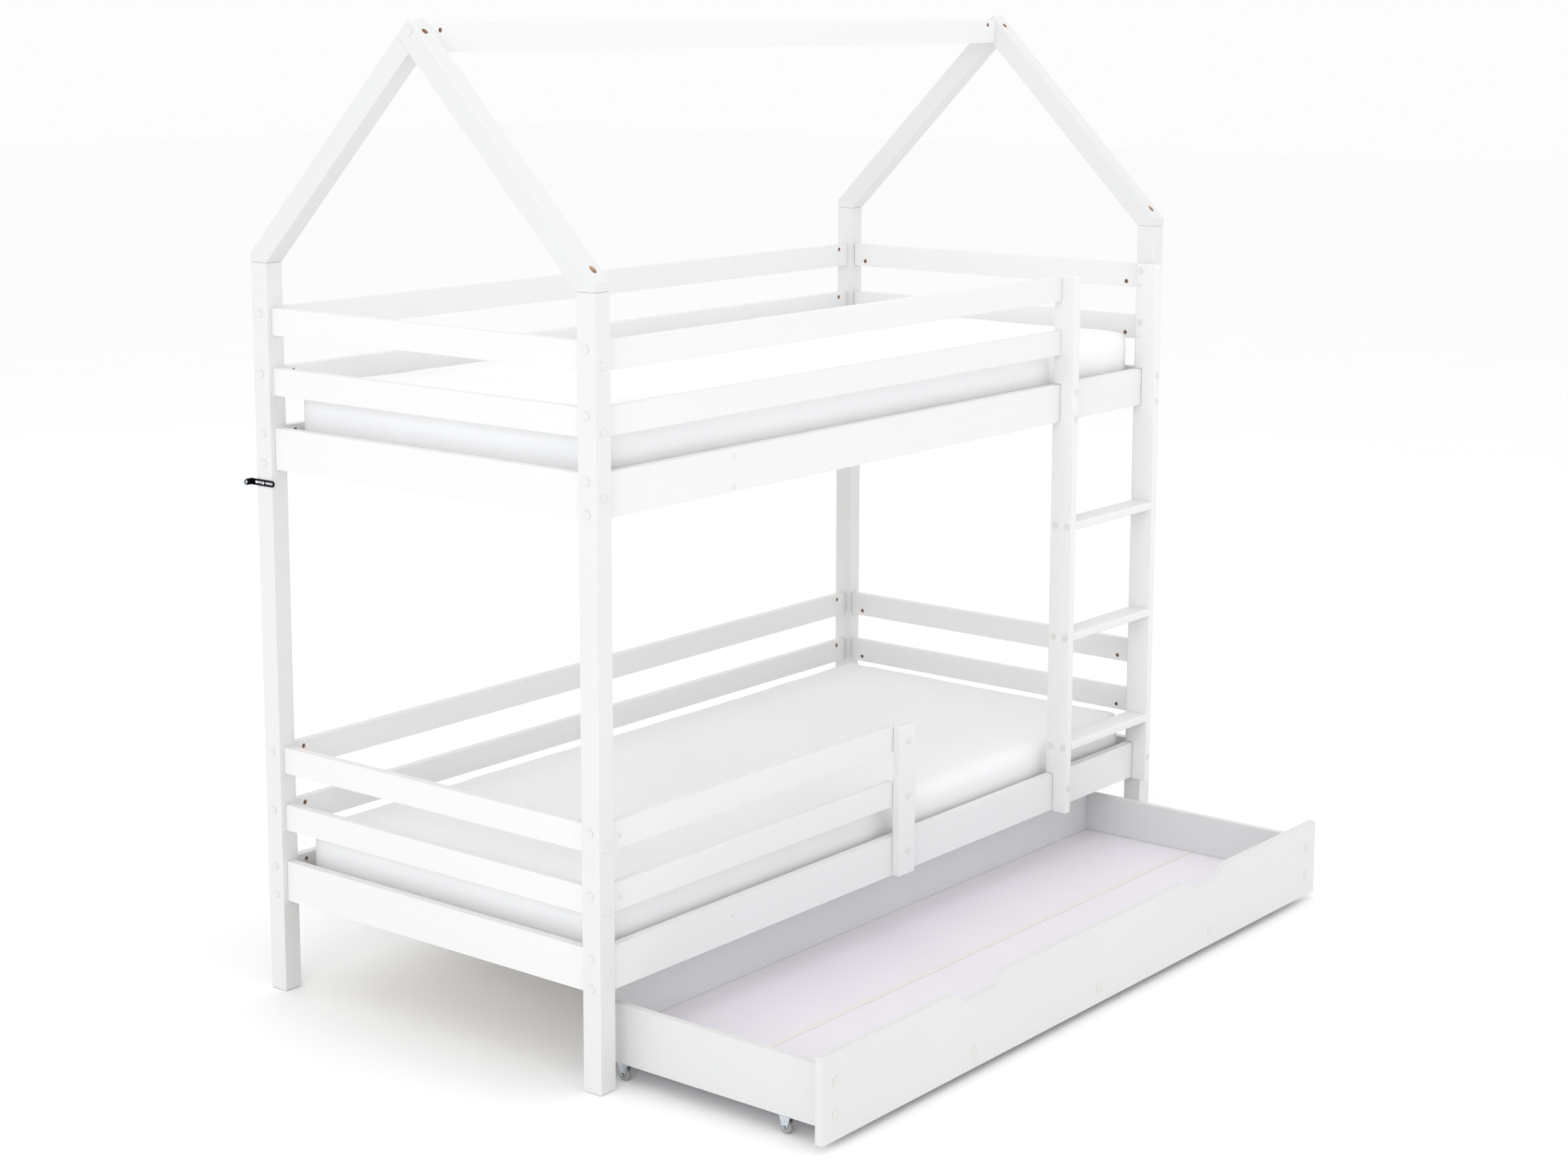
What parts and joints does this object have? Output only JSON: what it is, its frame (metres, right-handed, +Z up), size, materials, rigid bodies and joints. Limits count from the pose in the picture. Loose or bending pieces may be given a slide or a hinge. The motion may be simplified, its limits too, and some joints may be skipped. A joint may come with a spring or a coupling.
{
  "type": "bunk bed with ladder",
  "caption": "White wooden bunk bed under a house-shaped frame, with guard rails, a flat ladder at the front right and a rolling under-bed drawer pulled out.",
  "frame": {"origin": "middle of the footprint of the bed with its drawer as pulled out, on the floor", "axes": "+X along the bed towards the ladder end, -Y towards the ladder and drawer side, +Z up"},
  "size_m": [2.103, 1.511, 2.111],
  "materials": {
    "white_paint": "satin white paint on pine",
    "white_laminate": "satin white laminate",
    "floor_board": "thin white hardboard",
    "joining_strip": "matte",
    "mattress_cover": "soft white woven cover",
    "slat_wood": "bare planed pine",
    "zinc_steel": "zinc plated",
    "wheel_plastic": "satin grey",
    "bracket_steel": "dark plated"
  },
  "bodies": {
    "bed": {"post_front_left": "white_paint", "post_front_right": "white_paint", "post_rear_left": "white_paint", "post_rear_right": "white_paint", "rafter_front_left": "white_paint", "rafter_front_right": "white_paint", "rafter_rear_left": "white_paint", "rafter_rear_right": "white_paint", "ridge_beam": "white_paint", "lower_rail_front": "white_paint", "lower_rail_rear": "white_paint", "lower_rail_left": "white_paint", "lower_rail_right": "white_paint", "lower_guard2_front": "white_paint", "lower_guard2_rear": "white_paint", "lower_guard2_left": "white_paint", "lower_guard2_right": "white_paint", "lower_guard1_front": "white_paint", "lower_guard1_rear": "white_paint", "lower_guard1_left": "white_paint", "lower_guard1_right": "white_paint", "upper_rail_front": "white_paint", "upper_rail_rear": "white_paint", "upper_rail_left": "white_paint", "upper_rail_right": "white_paint", "upper_guard2_front": "white_paint", "upper_guard2_rear": "white_paint", "upper_guard2_left": "white_paint", "upper_guard2_right": "white_paint", "upper_guard1_front": "white_paint", "upper_guard1_rear": "white_paint", "upper_guard1_left": "white_paint", "upper_guard1_right": "white_paint", "guard_upright": "white_paint", "ladder_stile_left": "white_paint", "ladder_stile_right": "white_paint", "ladder_rung_1": "white_paint", "ladder_rung_2": "white_paint", "ladder_rung_3": "white_paint", "lower_slats": "slat_wood", "upper_slats": "slat_wood", "lower_mattress": "mattress_cover", "upper_mattress": "mattress_cover", "wall_bracket": "bracket_steel"},
    "drawer": {"drawer_front": "white_laminate", "drawer_side_left": "white_laminate", "drawer_side_right": "white_laminate", "drawer_back": "white_laminate", "drawer_floor_front": "floor_board", "drawer_floor_rear": "floor_board", "drawer_floor_strip": "joining_strip", "caster_fork_front_left": "zinc_steel", "caster_fork_front_right": "zinc_steel", "caster_fork_rear_left": "zinc_steel", "caster_fork_rear_right": "zinc_steel"},
    "wheel_front_left": {"caster_wheel_front_left": "wheel_plastic"},
    "wheel_front_right": {"caster_wheel_front_right": "wheel_plastic"},
    "wheel_rear_left": {"caster_wheel_rear_left": "wheel_plastic"},
    "wheel_rear_right": {"caster_wheel_rear_right": "wheel_plastic"}
  },
  "joints": [
    {"name": "drawer_slide", "type": "slide", "parent": "bed", "child": "drawer", "axis": [0, -1, 0], "range_m": [-0.514, 0.12]},
    {"name": "wheel_spin_front_left", "type": "hinge", "parent": "drawer", "child": "wheel_front_left", "pos_m": [-0.9335, -0.6375, 0.0125], "axis": [1, 0, 0], "continuous": true},
    {"name": "wheel_spin_front_right", "type": "hinge", "parent": "drawer", "child": "wheel_front_right", "pos_m": [0.9325, -0.6375, 0.0125], "axis": [1, 0, 0], "continuous": true},
    {"name": "wheel_spin_rear_left", "type": "hinge", "parent": "drawer", "child": "wheel_rear_left", "pos_m": [-0.9335, -0.2205, 0.0125], "axis": [1, 0, 0], "continuous": true},
    {"name": "wheel_spin_rear_right", "type": "hinge", "parent": "drawer", "child": "wheel_rear_right", "pos_m": [0.9325, -0.2205, 0.0125], "axis": [1, 0, 0], "continuous": true}
  ]
}
